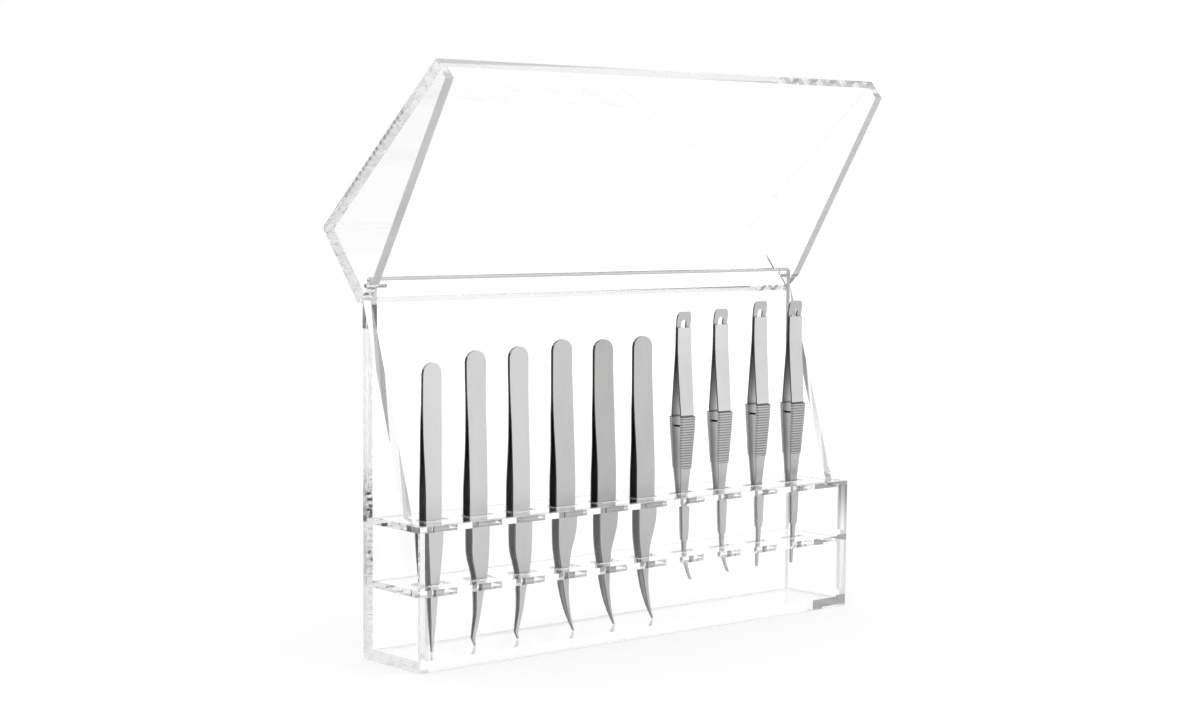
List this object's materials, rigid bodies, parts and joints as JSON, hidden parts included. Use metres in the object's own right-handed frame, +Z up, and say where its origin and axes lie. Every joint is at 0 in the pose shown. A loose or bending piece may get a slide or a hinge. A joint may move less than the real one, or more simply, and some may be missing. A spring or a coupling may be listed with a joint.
{
  "type": "tweezer case",
  "caption": "Clear acrylic display case with a slotted two-shelf base, a hinged sloping lid that opens up and back, and steel tweezers standing in its slots",
  "frame": {"origin": "centre of the base's underside, on the surface it stands on", "axes": "+X along the case's width to the right, seen from the front; +Y to the back; +Z up"},
  "size_m": [0.3, 0.1041, 0.2966],
  "materials": {
    "clear_acrylic": "polished clear sheet",
    "clear_acrylic_back": "polished clear sheet with a rounded top edge",
    "pin_steel": "plain turned pin",
    "brushed_steel": "satin stainless steel",
    "guide_pin_steel": "dark small pin"
  },
  "bodies": {
    "base": {"side_panel_left": "clear_acrylic", "side_panel_right": "clear_acrylic", "front_panel": "clear_acrylic", "back_panel": "clear_acrylic_back", "bottom_panel": "clear_acrylic", "top_shelf": "clear_acrylic", "mid_shelf": "clear_acrylic", "hinge_pin_left": "pin_steel", "hinge_pin_right": "pin_steel"},
    "lid": {"lid_front_panel": "clear_acrylic", "lid_top_panel": "clear_acrylic", "lid_cheek_left": "clear_acrylic", "lid_cheek_right": "clear_acrylic"},
    "tweezer_01": {"tweezer_01_arm_front": "brushed_steel", "tweezer_01_arm_back": "brushed_steel"},
    "tweezer_02": {"tweezer_02_arm_front": "brushed_steel", "tweezer_02_arm_back": "brushed_steel"},
    "tweezer_03": {"tweezer_03_arm_front": "brushed_steel", "tweezer_03_arm_back": "brushed_steel"},
    "tweezer_04": {"tweezer_04_arm_front": "brushed_steel", "tweezer_04_arm_back": "brushed_steel"},
    "tweezer_05": {"tweezer_05_arm_front": "brushed_steel", "tweezer_05_arm_back": "brushed_steel"},
    "tweezer_06": {"tweezer_06_arm_front": "brushed_steel", "tweezer_06_arm_back": "brushed_steel"},
    "tweezer_07": {"tweezer_07_arm_front": "brushed_steel", "tweezer_07_arm_back": "brushed_steel", "tweezer_07_guide_pin": "guide_pin_steel"},
    "tweezer_08": {"tweezer_08_arm_front": "brushed_steel", "tweezer_08_arm_back": "brushed_steel", "tweezer_08_guide_pin": "guide_pin_steel"},
    "tweezer_09": {"tweezer_09_arm_front": "brushed_steel", "tweezer_09_arm_back": "brushed_steel", "tweezer_09_guide_pin": "guide_pin_steel"},
    "tweezer_10": {"tweezer_10_arm_front": "brushed_steel", "tweezer_10_arm_back": "brushed_steel", "tweezer_10_guide_pin": "guide_pin_steel"}
  },
  "joints": [
    {"name": "lid_hinge", "type": "hinge", "parent": "base", "child": "lid", "pos_m": [0, 0.02175, 0.1875], "axis": [1, 0, 0], "range_deg": [0, 130]},
    {"name": "tweezer_01_lift", "type": "slide", "parent": "base", "child": "tweezer_01", "axis": [0, 0, -1], "range_m": [-0.07, 0]},
    {"name": "tweezer_02_lift", "type": "slide", "parent": "base", "child": "tweezer_02", "axis": [0, 0, -1], "range_m": [-0.07, 0]},
    {"name": "tweezer_03_lift", "type": "slide", "parent": "base", "child": "tweezer_03", "axis": [0, 0, -1], "range_m": [-0.07, 0]},
    {"name": "tweezer_04_lift", "type": "slide", "parent": "base", "child": "tweezer_04", "axis": [0, 0, -1], "range_m": [-0.07, 0]},
    {"name": "tweezer_05_lift", "type": "slide", "parent": "base", "child": "tweezer_05", "axis": [0, 0, -1], "range_m": [-0.07, 0]},
    {"name": "tweezer_06_lift", "type": "slide", "parent": "base", "child": "tweezer_06", "axis": [0, 0, -1], "range_m": [-0.07, 0]},
    {"name": "tweezer_07_lift", "type": "slide", "parent": "base", "child": "tweezer_07", "axis": [0, 0, -1], "range_m": [-0.052, 0]},
    {"name": "tweezer_08_lift", "type": "slide", "parent": "base", "child": "tweezer_08", "axis": [0, 0, -1], "range_m": [-0.052, 0]},
    {"name": "tweezer_09_lift", "type": "slide", "parent": "base", "child": "tweezer_09", "axis": [0, 0, -1], "range_m": [-0.052, 0]},
    {"name": "tweezer_10_lift", "type": "slide", "parent": "base", "child": "tweezer_10", "axis": [0, 0, -1], "range_m": [-0.052, 0]}
  ]
}
